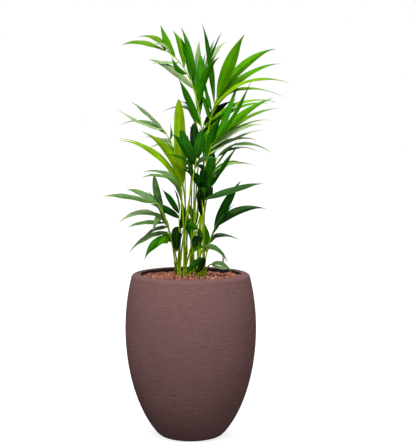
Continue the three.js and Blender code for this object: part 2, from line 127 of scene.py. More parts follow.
GAP = 0.3
STALK_FOOT = 3.3
STALK_MIDDLE = 2.6
STALK_END = 1.7
STALK_ROOM = 0.6  # kept round each stalk at a stem's top
STEM_MARGIN = 0.5  # of a stem outside its stalks
LEAF_SWINGS = (0, 0.16, -0.16, 0.32, -0.32, 0.48, -0.48, 0.7, -0.7)
FULL_WIDTH = 27
FULL_SHARE = 0.2
TURN_JITTER = 10
UPRIGHT_SIDE = 0.4  # from this steepness a leaflet turns to face up
SPINE_MIDDLE = 0.55  # how far out the spine's middle point is
SAME_PLACE = 0.5  # how near a leaflet's tip lies to a corner of its solid
LEAFLETS_AT_MOST = 20  # on a frond
DEPTH_DRAW, TURN_DRAW, FIBRE_DRAW, SWAY_DRAW, TWIST_DRAW, WAVE_DRAW = 1, 3, 4, 7, 8, 9

# Stems: foot (x, y) and top (x, y, height above the granules).
STEMS = [
    ((-48, 10), (-52, 8, 48)),
    ((-41, -16), (-39, -16, 66)),
    ((-22, 24), (-18, 28, 80)),
    ((-19, -34), (-20, -36, 40)),
    ((1, -10), (0, -10, 96)),
    ((8, 38), (6, 42, 90)),
    ((27, 12), (28, 14, 108)),
    ((31, -32), (32, -34, 48)),
    ((45, -2), (48, -2, 30)),
    ((12, 76), (10, 82, 44)),
]


def plan(name, stem, knee, tip, bare, tones, fan, depth=0.5, push=0):
    """A frond as the table has it.

    Its stalk bends at knee and ends at tip, both with the height above the granules, and has no
    leaflets on the share bare. tones has a letter of LEAF_TONES for each leaflet, a capital where
    its point hangs out of sight behind. fan has for each the heading of its tip in degrees from
    upright, its reach that way and its greatest width, all as seen from the front, how far it bows
    up before it hangs, and for some their own lean back. depth is how far leaflets go back and forth
    by turns, and push how far all of them lean back, both over the reach.
    """
    stalk = dict(stem=stem, knee=knee, tip=tip, bare=bare)
    return dict(stalk, name=name, tones=tones, fan=fan, depth=depth, push=push)


# The fronds, from the bottom up on each stem, as in the solids. A scratch program worked out the
# knees, tips and fans from places read off the photo by hand.
FRONDS = [
    plan("left_low", 0, (-64, -84, 185), (-111, -104, 268), 0.5, "geEgg", [
        (-42, 91, 15, 4), (-34, 124, 15, 1.1), (-15, 125, 30, -0.3, 0.9), (-67, 120, 17, 0.4),
        (-81, 186, 15, 0.2),
    ]),
    plan("left_lowest", 0, (-64, -24, 151), (-91, -48, 212), 0.42, "bmggggp", [
        (-102, 50, 39, 4, -0.9), (-129, 114, 30, 0.5, -0.5), (-117, 156, 14, 0.5),
        (-122, 121, 13, 0.6), (-95, 132, 16, 0.3), (-140, 60, 24, 1.4, -0.9), (-93, 155, 13, 0.8),
    ]),
    plan("young_left", 1, (-34, -8, 188), (-29, -40, 322), 0.88, "yyyY", [
        (-47, 290, 17, 3.1), (-50, 291, 15, 1.9), (-35, 236, 29, 3.6), (-2, 306, 49, 0),
    ], depth=0.2),
    plan("left_core", 1, (-38, -50, 147), (-39, -70, 231), 0.6, "Nddddg", [
        (-172, 64, 43, 1.3, -0.3), (7, 92, 22, -0.9, 0.4), (151, 81, 24, 1.1, 0.5),
        (-65, 111, 25, 0.2), (-34, 103, 19, 0.3), (-12, 88, 9, 4),
    ]),
    plan("centre_near", 1, (-17, -60, 220), (22, -104, 422), 0.84, "ededDDN", [
        (-39, 46, 12, 4, -0.4), (-59, 122, 10, 4), (65, 89, 16, 4, -0.5), (-36, 135, 32, 0.6, 0.1),
        (-25, 124, 37, -0.3, 0.9), (10, 99, 35, -0.1, 0.9), (-5, 122, 41, -0.3, 0.8),
    ]),
    plan("left_back", 2, (-9, 80, 394), (-98, 120, 517), 0.62, "ggppmgpg", [
        (-31, 95, 12, 1.7), (-59, 141, 14, 4), (-85, 95, 14, 3), (-61, 46, 9, 1.2), (2, 61, 9, -1),
        (-80, 186, 9, 0.7), (-65, 181, 8, -0.2), (-50, 164, 12, 0.2),
    ], push=0.15),
    plan("far_left", 2, (-17, 120, 357), (-29, 210, 444), 0.62, "ddddmd", [
        (-85, 16, 17, 0.5), (156, 15, 17, 0.5), (-13, 116, 19, 0.5), (7, 62, 19, 0.5),
        (-8, 133, 19, 0.5), (-4, 95, 17, 0.5),
    ], push=0.8),
    plan("centre_up", 2, (-4, 22, 326), (13, 50, 448), 0.7, "dnnd", [
        (-6, 137, 19, 0.5), (19, 92, 19, 0.5), (-10, 85, 19, 0.5), (7, 84, 19, 0.5),
    ], push=0.4),
    plan("mid_left", 3, (-20, -60, 193), (-32, -76, 317), 0.8, "gegg", [
        (-29, 106, 10, 3.6), (-60, 151, 9, 3.4), (-74, 144, 9, 1.3), (-67, 148, 15, 2.4),
    ], push=-0.15),
    plan("near_centre", 3, (-3, -70, 108), (28, -110, 183), 0.85, "nndm", [
        (-171, 49, 24, -1.5, -0.4), (169, 50, 19, 0.8, -0.3), (154, 39, 14, 0, -0.6),
        (-64, 46, 26, 0, -0.8),
    ]),
    plan("right_fan", 4, (28, -20, 311), (74, -60, 474), 0.78, "mbmmpmplmob", [
        (18, 175, 31, 2.2), (66, 191, 14, 2), (10, 110, 33, 4, 0.9), (22, 291, 19, -0.1),
        (65, 203, 12, 0.3), (32, 143, 26, 0, 0.3), (63, 195, 12, 0.5), (65, 230, 13, 0.5),
        (31, 259, 17, -0.2), (62, 258, 17, 0.4), (53, 255, 22, 0.3),
    ], push=-0.1),
    plan("right_low_b", 4, (35, -40, 226), (69, -60, 347), 0.74, "dDddgp", [
        (-37, 128, 31, 4, -0.3), (8, 147, 41, -0.3, 0.5), (33, 182, 16, 0),
        (-16, 72, 33, -0.7, 0.5), (62, 130, 10, 3), (75, 174, 8, 1.6),
    ], push=-0.2),
    plan("back_top", 5, (-6, 136, 589), (59, 150, 724), 0.66, "pgppg", [
        (8, 200, 26, 0.5), (14, 221, 14, 0.5), (-6, 148, 26, -0.7), (32, 135, 19, 3),
        (20, 152, 10, 0.4),
    ], push=0.3),
    plan("up_back", 5, (12, 92, 429), (21, 100, 553), 0.9, "gpgg", [
        (-30, 98, 8, 2.1), (-27, 89, 8, 0.6), (-41, 88, 12, 4), (-77, 132, 13, 4),
    ], push=0.2),
    plan("right_dark", 5, (17, 44, 378), (45, 40, 532), 0.86, "bdlnm", [
        (61, 263, 10, 0.9), (56, 156, 19, 0.9), (69, 278, 10, 1.1), (48, 132, 26, 0.4),
        (50, 152, 10, -0.1),
    ], depth=0.4),
    plan("top_left", 6, (90, 10, 697), (-85, -20, 788), 0.44, "mMmmpmmbpbpoo", [
        (-25, 181, 26, 0), (1, 217, 30, 1.4, 0.9), (24, 182, 27, 4), (-12, 259, 24, 1.3, 0.35),
        (-57, 183, 24, 0.4), (-13, 155, 19, 4, -0.2), (-41, 80, 16, -0.6), (-16, 138, 21, 4, 0.3),
        (-94, 94, 9, 0.1), (-24, 125, 23, -0.2, -0.1), (-64, 71, 12, 3.6), (-62, 109, 17, 3.8),
        (-83, 151, 15, 0.5),
    ], depth=0.6),
    plan("top_right", 6, (38, 30, 500), (92, 10, 628), 0.76, "mlmlmbbb", [
        (-19, 102, 16, 0.6), (75, 272, 15, 3.5), (-14, 115, 17, -0.2), (72, 287, 15, 1.3),
        (-9, 279, 18, 4), (59, 273, 17, 0.4), (23, 236, 43, 0.3), (49, 281, 31, 0.5),
    ], depth=0.55),
    plan("far_right", 6, (51, 120, 393), (62, 230, 444), 0.62, "dddmmm", [
        (-59, 38, 17, 0.5), (127, 28, 17, 0.5), (-15, 112, 19, 0.5), (26, 127, 19, 0.5),
        (-15, 87, 19, 0.5), (10, 127, 19, 0.5),
    ], push=0.8),
    plan("far_low", 9, (8, 130, 151), (4, 190, 182), 0.6, "dnddn", [
        (-26, 82, 17, 0.5), (17, 66, 17, 0.5), (-135, 59, 17, 0.5), (-15, 63, 17, 0.5),
        (-174, 86, 17, 0.5),
    ], push=0.8),
    plan("right_low_a", 7, (45, -14, 293), (93, -50, 426), 0.85, "ggg", [
        (42, 131, 9, 0.5), (83, 145, 10, 0.8), (84, 181, 10, 1.1),
    ], push=-0.2),
    plan("right_bottom", 7, (31, -60, 75), (43, -84, 114), 0.6, "bg", [
        (-121, 47, 24, 1.6, -0.5), (124, 107, 17, 0.9),
    ]),
    plan("bottom_centre", 7, (55, -52, 67), (50, -80, 79), 0.6, "dn", [
        (-130, 87, 23, 0.3, -0.1), (-148, 70, 19, -0.7, 0.1),
    ]),
    plan("right_long", 8, (45, -66, 193), (40, -80, 280), 0.7, "nne", [
        (-6, 126, 15, -0.4), (38, 60, 24, -0.5), (73, 217, 22, 0.1),
    ]),
    plan("right_lower", 8, (55, 14, 109), (83, -10, 175), 0.36, "medde", [
        (-4, 113, 29, 1.2, -0.4), (82, 111, 14, 4), (34, 146, 10, 0.5), (29, 192, 31, 0.2),
        (67, 192, 29, 0.7),
    ]),
    plan("right_bottom_b", 8, (66, -20, 51), (71, -50, 53), 0.5, "gg", [
        (100, 61, 9, -0.2, -0.2), (115, 84, 13, 0.9),
    ]),
    plan("near_right", 8, (45, -124, 266), (52, -180, 333), 0.62, "ddnedn", [
        (2, 145, 17, 0.5), (15, 102, 17, 0.5), (-21, 49, 16, 0.5), (56, 26, 16, 0.5),
        (-167, 29, 16, 0.5), (-150, 52, 16, 0.5),
    ], push=-0.8),
]


def lerp(a, b, t):
    return a + (b - a) * t


def unit(v):
    return v / np.linalg.norm(v)


def jitter(a, b):
    """A repeatable number between -1 and 1, the same as the solids' source draws."""
    v = math.sin(a * 12.9898 + b * 78.233) * 43758.5453
    return 2 * (v - math.floor(v)) - 1


def seed_of(index, i):
    """The number of leaflet i of a frond, for what is drawn for it alone."""
    return index * LEAFLETS_AT_MOST + i


def above(point):
    return np.array([point[0], point[1], BED_LEVEL + point[2]], float)


def curve_point(curve, t):
    a, b, c = curve
    t = np.asarray(t, float)[..., None]
    return a * (1 - t) ** 2 + b * 2 * t * (1 - t) + c * t**2


def curve_way(curve, t):
    a, b, c = curve
    t = np.asarray(t, float)[..., None]
    way = (b - a) * (1 - t) + (c - b) * t
    return way / np.linalg.norm(way, axis=-1, keepdims=True)


def round_turn(sides):
    return np.linspace(0, 2 * math.pi, sides, endpoint=False)


def lean(frond):
    top = STEMS[frond["stem"]][1]
    return math.atan2(frond["knee"][1] - top[1], frond["knee"][0] - top[0])


def ring_of(k):
    """The fronds of a stem, in the order in which they stand round its top."""
    return sorted((f for f in FRONDS if f["stem"] == k), key=lean)


def ring_radius(k):
    count = len(ring_of(k))
    return 0 if count < 2 else (STALK_FOOT + STALK_ROOM) / math.sin(math.pi / count)


def ring_angles(k):
    ring = ring_of(k)
    step = 2 * math.pi / len(ring)
    first = sum(lean(one) - i * step for i, one in enumerate(ring)) / len(ring)
    return {one["name"]: first + step * i for i, one in enumerate(ring)}


def stem_radius(k):
    return ring_radius(k) + STALK_FOOT + STEM_MARGIN


def stalk_curve(frond):
    k = frond["stem"]
    angle = ring_angles(k)[frond["name"]]
    out = ring_radius(k)
    seat = above(STEMS[k][1])
    foot = seat + np.array([out * math.cos(angle), out * math.sin(angle), GAP])
    return foot, above(frond["knee"]), above(frond["tip"])


def stalk_radius(frond, t):
    bare = np.minimum(1, t / frond["bare"])
    leafy = np.maximum(0, (t - frond["bare"]) / (1 - frond["bare"]))
    return lerp(STALK_FOOT, STALK_MIDDLE, bare**0.6) + (STALK_END - STALK_MIDDLE) * leafy


def leaflet(frond, index, i, swing):
    """One leaflet of a frond: its spine, face, width and length, by the rule of the solids."""
    fan = frond["fan"]
    count = len(fan)
    u = min(1, i / (count - 2 or 1))
    seed = seed_of(index, i)
    heading, reach, width, bow, *own_lean = fan[i]
    on_stalk = 1 if count < 3 else lerp(frond["bare"], 1, u)
    foot = curve_point(stalk_curve(frond), on_stalk)
    by_turns = frond["depth"] * (1 if i % 2 else -1) * (0.65 + 0.35 * jitter(seed, DEPTH_DRAW))
    back = (own_lean[0] if own_lean else by_turns + frond["push"]) + swing
    a = math.radians(heading)
    chord = np.array([math.sin(a), back, math.cos(a)]) * reach
    long = np.linalg.norm(chord)
    along = unit(chord)
    start = unit(along + np.array([0, 0, bow]))
    full = max(width, min(FULL_WIDTH, FULL_SHARE * long))
    front = unit(np.array([0, -1, 0]) + along * along[1])
    side = np.cross(front, along)
    upright = abs(side[2]) > UPRIGHT_SIDE
    way = math.copysign(1, side[2]) if upright else (1 if i % 2 else -1)
    turn = way * math.acos(width / full) + math.radians(TURN_JITTER * jitter(seed, TURN_DRAW))
    return dict(
        spine=(foot, foot + start * SPINE_MIDDLE * long, foot + chord),
        face=front * math.cos(turn) + side * math.sin(turn),
        width=full,
        long=long,
        tone=frond["tones"][i].lower(),
        round_end=frond["tones"][i].isupper(),
        shown=width / full,
    )


def corners_of(node):
    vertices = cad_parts[node].data.vertices
    flat = np.zeros(len(vertices) * 3, np.float32)
    vertices.foreach_get("co", flat)
    return flat.reshape(-1, 3) / MM


def leaflets_of(frond, index):
    """The leaflets of a frond, each swung back or forward as far as its solid is."""
    corners = corners_of("frond_" + frond["name"])
    found = []
    for i in range(len(frond["fan"])):
        for swing in LEAF_SWINGS:
            made = leaflet(frond, index, i, swing)
            if np.linalg.norm(corners - made["spine"][2], axis=1).min() < SAME_PLACE:
                found.append(made)
                break
    return found


# ---- meshes


class Shape:
    """Points with places on the surface, faces and material numbers that grow into one mesh."""

    def __init__(self):
        self.points = []
        self.places = []
        self.faces = []
        self.slots = []
        self.count = 0

    def add(self, points, faces, places=None, slot=0):
        self.points.append(points)
        self.places.append(np.zeros((len(points), 2)) if places is None else places)
        self.faces.extend(tuple(int(k) + self.count for k in face) for face in faces)
        self.slots.extend([slot] * len(faces))
        self.count += len(points)

    def loft(self, rings, first, last, places=None, slot=0):
        """A closed skin over rings of equal length, with a fan to a point at each end."""
        rows, sides = rings.shape[:2]
        points = np.vstack([first[None], rings.reshape(-1, 3), last[None]])
        end = len(points) - 1
        faces = []
        for k in range(sides):
            following = (k + 1) % sides
            faces.append((0, 1 + following, 1 + k))
            faces.append((end, end - sides + k, end - sides + following))
        for i in range(rows - 1):
            for k in range(sides):
                a = 1 + i * sides + k
                b = 1 + i * sides + (k + 1) % sides
                faces.append((a, b, b + sides, a + sides))
        if places is not None:
            middle = places.reshape(rows, sides, 2).mean(axis=1)
            places = np.vstack([middle[:1], places.reshape(-1, 2), middle[-1:]])
        self.add(points, facing_out(points, faces), places, slot)

    def make(self, name, materials, sharp=None):
        mesh = bpy.data.meshes.new(name)
        points = np.vstack(self.points) * MM
        mesh.from_pydata(points.tolist(), [], self.faces)
        for one in materials:
            mesh.materials.append(one)
        mesh.polygons.foreach_set("material_index", np.array(self.slots, np.int32))
        mesh.polygons.foreach_set("use_smooth", np.ones(len(self.faces), bool))
        corner = np.zeros(len(mesh.loops), np.int32)
        mesh.loops.foreach_get("vertex_index", corner)
        layer = mesh.uv_layers.new(name="place")
        layer.data.foreach_set("uv", np.vstack(self.places)[corner].astype(np.float32).ravel())
        if sharp:
            mesh.set_sharp_from_angle(angle=math.radians(sharp))
        mesh.update()
        piece = bpy.data.objects.new(name, mesh)
        bpy.context.scene.collection.objects.link(piece)
        return piece


def facing_out(points, faces):
    """The faces of a closed skin, all turned round if they face in."""
    total = 0
    for face in faces:
        a = points[face[0]]
        for k in range(1, len(face) - 1):
            total += np.dot(a, np.cross(points[face[k]], points[face[k + 1]]))
    return [face[::-1] for face in faces] if total < 0 else faces


def tube_rings(centres, ways, radii, sides, squeeze):
    """Rings round a line, each square to it. squeeze scales the radius by ring and side."""
    rings = np.zeros((len(centres), sides, 3))
    side = np.array([1.0, 0, 0])
    turn = round_turn(sides)
    for i, (centre, way, radius) in enumerate(zip(centres, ways, radii)):
        side = unit(side - way * np.dot(side, way))
        up = np.cross(way, side)
        out = np.cos(turn)[:, None] * side + np.sin(turn)[:, None] * up
        rings[i] = centre + out * radius * squeeze[i][:, None]
    return rings


def grid(across, along):
    """Places on the surface: across over the sides of a ring, along over the rings."""
    return np.stack(np.meshgrid(across, along), axis=-1)


def turned_rings(profile, sides, centre=(0, 0, 0)):
    turn = round_turn(sides)
    r, z = np.array(profile, float).T[..., None]
    rings = np.stack([r * np.cos(turn), r * np.sin(turn), z + 0 * turn], axis=-1)
    return rings + np.array(centre)


# ---- materials


def linear(red, green, blue):
    """A colour as the eye sees it, from 0 to 255, turned into light."""
    share = [v / 255 for v in (red, green, blue)]
    light = [v / 12.92 if v <= 0.04045 else ((v + 0.055) / 1.055) ** 2.4 for v in share]
    return (*light, 1)


def shaded(color, factor):
    return (*(min(1, v * factor) for v in color[:3]), 1)


def grey(share):
    return (share, share, share, 1)


def mixed(a, b, t):
    return (*(lerp(x, y, t) for x, y in zip(a[:3], b[:3])), 1)


class Nodes:
    """A tree of nodes, and short ways to add to it."""

    def __init__(self, tree):
        self.tree = tree

    def feed(self, socket, value):
        """Give a socket its value: a number or a colour, or the output of another node."""
        if isinstance(value, bpy.types.NodeSocket):
            self.tree.links.new(value, socket)
        else:
            socket.default_value = value

    def node(self, kind, settings=None, **inputs):
        made = self.tree.nodes.new(kind)
        for key, value in (settings or {}).items():
            setattr(made, key, value)
        for key, value in inputs.items():
            self.feed(made.inputs[key.replace("_", " ")], value)
        return made

    def calculate(self, kind, operation, *values):
        """A sum on values, where the inputs of the node all have the same name."""
        made = self.node(kind, {"operation": operation})
        for socket, value in zip(made.inputs, values):
            self.feed(socket, value)
        return made.outputs["Value"]


class Finish(Nodes):
    """A node material: a plain shader and the nodes that vary it."""

    def __init__(self, name, color, roughness, specular):
        self.material = bpy.data.materials.new(name)
        self.material.use_nodes = True
        super().__init__(self.material.node_tree)
        self.shader = self.tree.nodes["Principled BSDF"]
        self.set("Base Color", color)
        self.set("Roughness", roughness)
        self.set("Specular IOR Level", specular)

    def set(self, name, value):
        self.feed(self.shader.inputs[name], value)

    def place(self, scale=(1, 1, 1)):
        """Coordinates in metres on the object, stretched by scale."""
        spot = self.node("ShaderNodeTexCoord").outputs["Object"]
        return self.node("ShaderNodeMapping", Vector=spot, Scale=scale).outputs["Vector"]

    def surface_place(self):
        """The places that the mesh itself gives its points, across and along."""
        return self.node("ShaderNodeUVMap", {"uv_map": "place"}).outputs["UV"]

    def part(self, vector, axis):
        return self.node("ShaderNodeSeparateXYZ", Vector=vector).outputs[axis]

    def noise(self, vector, scale, detail=3.0, roughness=0.55):
        made = self.node(
            "ShaderNodeTexNoise", Vector=vector, Scale=scale, Detail=detail, Roughness=roughness
        )
        return made.outputs["Fac"]

    def ramp(self, fac, stops):
        """A scale of colours. stops has (position, colour) pairs, with a number for a grey."""
        made = self.node("ShaderNodeValToRGB", Fac=fac)
        elements = made.color_ramp.elements
        elements[0].position = stops[0][0]
        elements[1].position = stops[-1][0]
        for position, _ in stops[1:-1]:
            elements.new(position)
        for element, (_, color) in zip(elements, stops):
            element.color = color if isinstance(color, tuple) else grey(color)
        return made.outputs["Color"]

    def mix(self, share, a, b, way="MIX"):
        """Colour b over colour a. Each is a colour or comes from another node, as may the share."""
        settings = {"data_type": "RGBA", "blend_type": way}
        return self.node("ShaderNodeMix", settings, Factor=share, A=a, B=b).outputs["Result"]

    def bump(self, height, distance, strength, normal=None):
        made = self.node("ShaderNodeBump", Height=height, Distance=distance, Strength=strength)
        if normal is not None:
            self.feed(made.inputs["Normal"], normal)
        return made.outputs["Normal"]


# Leaf tones, from nearly black to light, then olive, young, pale underside and two grey-greens.
# They are partly the leaves' own colour and partly painted shade and light: each leaflet takes
# the tone that matches how shaded or lit it looks.
LEAF_TONES = {
    "n": linear(2, 38, 0),
    "d": linear(20, 84, 0),
    "m": linear(46, 122, 0),
    "b": linear(80, 149, 0),
    "l": linear(120, 168, 10),
    "o": linear(94, 140, 16),
    "y": linear(124, 168, 0),
    "p": linear(150, 180, 120),
    "g": linear(80, 124, 44),
    "e": linear(42, 92, 22),
}
OLD_LEAVES = "ge"  # the tones of the lower, older leaves, which shine most
SHADED_FOOT_TONES = "nd"  # the tones of leaves with painted shade at the foot, inside the crown; the others are palest there
LINE_COLOR = linear(176, 190, 40)
FOOT_COLOR = linear(150, 180, 40)
TIP_COLOR = linear(150, 150, 60)
VEINS = 11


def leaf_body(made, color, spot):
    """The leaf's own colour in soft patches, with lighter and darker veins along it."""
    patches = made.noise(made.place(), 22, 2.0)
    body = made.ramp(patches, [(0.3, shaded(color, 0.76)), (0.7, shaded(color, 1.24))])
    stretched = made.node("ShaderNodeMapping", Vector=spot, Scale=(13, 0.5, 1))
    veins = made.noise(stretched.outputs["Vector"], 1.0, 2.0)
    tint = made.ramp(veins, [(0.35, (0.7, 0.74, 0.7, 1)), (0.65, (1.24, 1.2, 1.1, 1))])
    return made.mix(0.8, body, tint, "MULTIPLY")


def leaf_lines(made, across, color, body):
    """Paler lines over the midrib and the margins."""
    lines = made.ramp(
        across,
        [(0.0, 0.5), (0.07, 0), (0.46, 0), (0.5, 0.7), (0.54, 0), (0.93, 0), (1.0, 0.5)],
    )
    return made.mix(lines, body, mixed(shaded(color, 1.5), LINE_COLOR, 0.12))


def leaf_foot(made, along, color, dark, body):
    """The foot of the leaf: painted shade on a dark leaf, paler on any other."""
    # painted shade: a dark leaf is darkened towards its foot, as if shaded by the crown
    if dark:
        share = made.ramp(along, [(0.0, 0.75), (0.5, 0)])
        return made.mix(share, body, shaded(color, 0.3))
    share = made.ramp(along, [(0.0, 1), (0.1, 0)])
    return made.mix(share, body, mixed(color, FOOT_COLOR, 0.55))


def leaf_finish(letter):
    """A ribbed leaf: veins along it, paler midrib and margins, a pale foot or one darkened by
    painted shade, and a dry tip.
    """
    color = LEAF_TONES[letter]
    old = letter in OLD_LEAVES
    made = Finish("leaf_" + letter, color, 0.4 if old else 0.6, 0.35 if old else 0.06)
    spot = made.surface_place()
    across, along = made.part(spot, "X"), made.part(spot, "Y")
    lined = leaf_lines(made, across, color, leaf_body(made, color, spot))
    footed = leaf_foot(made, along, color, letter in SHADED_FOOT_TONES, lined)
    tip = made.ramp(along, [(0.94, 0), (1.0, 0.75)])
    made.set("Base Color", made.mix(tip, footed, mixed(color, TIP_COLOR, 0.5)))
    many = made.calculate("ShaderNodeMath", "MULTIPLY", across, 2 * math.pi * VEINS)
    waves = made.calculate("ShaderNodeMath", "SINE", many)
    made.set("Normal", made.bump(waves, 0.0002, 0.5))
    return made.material


def stalk_finish():
    made = Finish("stalk_green", linear(160, 196, 6), 0.5, 0.12)
    streaks = made.noise(made.place((1, 1, 0.04)), 240, 2.0)
    patches = made.noise(made.place((1, 1, 0.3)), 13, 2.0)
    green = made.ramp(
        patches, [(0.3, linear(98, 156, 0)), (0.5, linear(156, 194, 2)), (0.7, linear(192, 212, 44))]
    )
    brown = made.ramp(streaks, [(0.62, 0), (0.74, 0.55)])
    made.set("Base Color", made.mix(brown, green, linear(136, 92, 10)))
    made.set("Normal", made.bump(streaks, 0.0004, 0.4))
    return made.material


def sheath_finish():
    """The foot of the stalks: green, with dry brown fibres here and there, and painted shade in the
    seams between the stalks.
    """
    made = Finish("sheath_green", linear(150, 184, 10), 0.6, 0.1)
    seam = made.part(made.surface_place(), "X")
    fibres = made.noise(made.place((1, 1, 0.05)), 300, 3.0, 0.6)
    patches = made.noise(made.place((1, 1, 0.3)), 26, 3.0)
    green = made.ramp(
        fibres, [(0.3, linear(88, 142, 0)), (0.5, linear(146, 184, 4)), (0.72, linear(196, 212, 80))]
    )
    dry = made.ramp(
        fibres, [(0.3, linear(60, 36, 10)), (0.55, linear(120, 80, 22)), (0.8, linear(172, 136, 66))]
    )
    where = made.ramp(patches, [(0.56, 0), (0.66, 0.9)])
    # painted shade: darker towards the seams between the stalks
    shade = made.ramp(seam, [(0.45, 0), (0.95, 0.85)])
    made.set("Base Color", made.mix(shade, made.mix(where, green, dry), linear(52, 50, 8)))
    made.set("Normal", made.bump(fibres, 0.001, 0.6))
    return made.material


def clay_finish():
    """Matte clay fibre: level ripples from the trowel, fine grain, small pits, and painted shade on
    the lip.
    """
    dark, plain, light = linear(117, 86, 85), linear(124, 91, 90), linear(130, 96, 95)
    made = Finish("planter_clay", plain, 0.9, 0.1)
    ripples = made.noise(made.place((1, 1, 4)), 52, 4.0, 0.62)
    grain = made.noise(made.place(), 420, 3.0, 0.7)
    clouds = made.noise(made.place((1, 1, 1.6)), 7, 3.0)
    pits = made.noise(made.place((1, 1, 2.6)), 64, 1.0)
    body = made.ramp(ripples, [(0.3, dark), (0.52, plain), (0.74, light)])
    shade = made.ramp(clouds, [(0.3, 0.95), (0.7, 1.04)])
    # painted shade: the lip's top is darkened, as shade would darken it
    lip_shade_low, lip_shade_high = (POT_HEIGHT - POT_LIP + 4) * MM, (POT_HEIGHT - 2) * MM
    lip = made.ramp(made.part(made.place(), "Z"), [(lip_shade_low, 1), (lip_shade_high, 0.84)])
    clouded = made.mix(1.0, body, shade, "MULTIPLY")
    made.set("Base Color", made.mix(1.0, clouded, lip, "MULTIPLY"))
    first = made.bump(ripples, 0.0022, 0.42)
    second = made.bump(grain, 0.0009, 0.5, first)
    holes = made.ramp(pits, [(0.66, 1), (0.74, 0)])
    made.set("Normal", made.bump(holes, 0.0012, 0.7, second))
    return made.material


def granule_finish(name, color):
    made = Finish(name, color, 0.92, 0.2)
    grain = made.noise(made.place(), 700, 4.0, 0.7)
    tint = made.ramp(grain, [(0.32, shaded(color, 0.6)), (0.55, color), (0.75, shaded(color, 1.35))])
    made.set("Base Color", tint)
    made.set("Normal", made.bump(grain, 0.0008, 0.8))
    return made.material


def plastic_finish(name, color, roughness):
    made = Finish(name, color, roughness, 0.45)
    grain = made.noise(made.place(), 900, 2.0)
    tint = made.ramp(grain, [(0.3, shaded(color, 0.85)), (0.7, shaded(color, 1.15))])
    made.set("Base Color", tint)
    made.set("Normal", made.bump(grain, 0.0002, 0.3))
    return made.material


def clear_finish():
    made = Finish("clear_plastic", (0.93, 0.96, 0.97, 1), 0.06, 0.5)
    made.set("Alpha", 0.32)
    cloud = made.noise(made.place(), 60, 2.0)
    tint = made.ramp(cloud, [(0.3, (0.86, 0.9, 0.92, 1)), (0.7, (0.96, 0.98, 0.99, 1))])
    made.set("Base Color", tint)
    return made.material


# ---- planter

POT_SIDES = 300
BASE_ROWS = 12
BASE_START = 8  # radius of its innermost ring
FOOT_END = -40  # degrees, where the round of the foot meets the wall
WALL_ROWS = 240
MOUTH_ROWS = 12
INSIDE_ROWS = 24
PLAIN_RADIUS = 70  # no ripples within it
PLAIN_HEIGHT = 6  # nor below it
RIPPLE = 0.3  # depth
RIPPLE_SCALE = (0.05, 0.05, 0.15)
RIPPLE_FRACTAL = (0.9, 2.1, 3)  # fall of the finer ones, their fineness, their number
RIPPLE_MIDDLE = 0.75  # keeps them inside the solid
LIP_DEPTH = 5  # of the clay colour on the inside


def wall_radius(z):
    k = (z - POT_GIRTH_HEIGHT) / POT_CURVE
    return POT_GIRTH_RADIUS * math.sqrt(1 - k * k)


def rounded(r, z, radius, start, end, steps):
    angles = np.radians(np.linspace(start, end, steps + 1))
    return [(r + radius * math.cos(a), z + radius * math.sin(a)) for a in angles]


def pot_outside():
    """From the middle of the underside, up the wall and over the lip."""
    base = [(r, 0) for r in np.linspace(BASE_START, POT_FOOT_RADIUS, BASE_ROWS)[:-1]]
    corner = rounded(POT_FOOT_RADIUS, POT_FOOT_ROUND, POT_FOOT_ROUND, -90, FOOT_END, 7)
    low, high = 0.5 * POT_FOOT_ROUND, POT_HEIGHT - POT_LIP - 2
    wall = [(wall_radius(z), z) for z in np.linspace(low, high, WALL_ROWS)]
    lip_radius = wall_radius(POT_HEIGHT - POT_LIP) - POT_LIP
    lip = rounded(lip_radius, POT_HEIGHT - POT_LIP, POT_LIP, 0, 90, 8)
    inner_edge = POT_MOUTH_RADIUS + POT_LIP_INNER
    flat = [(r, POT_HEIGHT) for r in np.linspace(lip_radius, inner_edge, 6)[1:-1]]
    return base + corner + wall + lip + flat


def pot_inside():
    """From the lip's inner edge down to the floor."""
    inner_edge = POT_MOUTH_RADIUS + POT_LIP_INNER
    edge = rounded(inner_edge, POT_HEIGHT - POT_LIP_INNER, POT_LIP_INNER, 90, 180, 4)
    mouth = np.linspace(POT_HEIGHT - 8, BED_LEVEL - 30, MOUTH_ROWS)
    below = np.linspace(BED_LEVEL - 60, POT_FLOOR, INSIDE_ROWS)
    wall = [(min(POT_MOUTH_RADIUS, wall_radius(z) - POT_WALL), z) for z in below]
    return edge + [(POT_MOUTH_RADIUS, z) for z in mouth] + wall


def is_inside(points, face):
    """Whether a face of the planter lies on the inside of its wall, below the lip."""
    x, y, z = points[list(face)].mean(axis=0)
    level = POT_FLOOR - 1 < z < POT_HEIGHT - LIP_DEPTH
    return level and math.hypot(x, y) < wall_radius(z) - POT_WALL / 2


def make_pot(clay, inner_shade):
    profile = pot_outside() + pot_inside()
    rings = turned_rings(profile, POT_SIDES)
    for row, (r, z) in zip(rings, profile):
        if r < PLAIN_RADIUS or z < PLAIN_HEIGHT:
            continue
        for k, point in enumerate(row):
            spot = Vector([v * scale for v, scale in zip(point, RIPPLE_SCALE)])
            row[k, :2] *= 1 - RIPPLE * (RIPPLE_MIDDLE + noise.fractal(spot, *RIPPLE_FRACTAL)) / r
    shape = Shape()
    shape.loft(rings, np.array([0.0, 0, 0]), np.array([0.0, 0, POT_FLOOR]))
    # painted shade: the inside of the wall below the lip gets a near-black finish
    shape.slots = [int(is_inside(shape.points[0], face)) for face in shape.faces]
    piece = shape.make("planter", [clay, inner_shade])
    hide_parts("pot")
    return piece


# ---- granules

